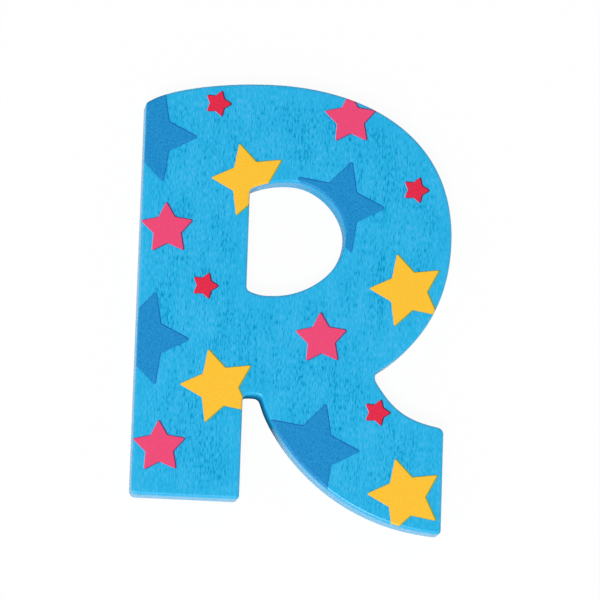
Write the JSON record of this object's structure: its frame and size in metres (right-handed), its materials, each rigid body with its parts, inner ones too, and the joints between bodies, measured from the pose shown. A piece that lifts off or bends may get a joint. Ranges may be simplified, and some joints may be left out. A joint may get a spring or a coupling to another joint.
{
  "type": "wooden letter",
  "caption": "Flat wooden letter R in painted plywood, with raised ink stars on its face, for fixing to a door or wall or for play.",
  "frame": {"origin": "middle of the letter's plan, on its back face", "axes": "+X to the letter's right, +Y up its stem, +Z out of its printed face"},
  "size_m": [0.0632, 0.09, 0.0061],
  "materials": {
    "blue_painted_wood": "satin sky-blue paint over open grain",
    "dark_blue_ink": "satin raised ink",
    "yellow_ink": "satin raised ink",
    "pink_ink": "satin raised ink",
    "red_ink": "satin raised ink"
  },
  "bodies": {
    "root": {"front_veneer": "blue_painted_wood", "front_crossband": "blue_painted_wood", "core_ply": "blue_painted_wood", "back_crossband": "blue_painted_wood", "back_veneer": "blue_painted_wood", "dark_blue_star_shoulder": "dark_blue_ink", "dark_blue_star_bowl": "dark_blue_ink", "dark_blue_star_stem": "dark_blue_ink", "dark_blue_star_leg": "dark_blue_ink", "yellow_star_counter": "yellow_ink", "yellow_star_bowl": "yellow_ink", "yellow_star_notch": "yellow_ink", "yellow_star_foot": "yellow_ink", "pink_star_crown": "pink_ink", "pink_star_stem": "pink_ink", "pink_star_waist": "pink_ink", "pink_star_heel": "pink_ink", "red_star_crown": "red_ink", "red_star_bowl": "red_ink", "red_star_stem": "red_ink", "red_star_leg": "red_ink"}
  },
  "joints": []
}
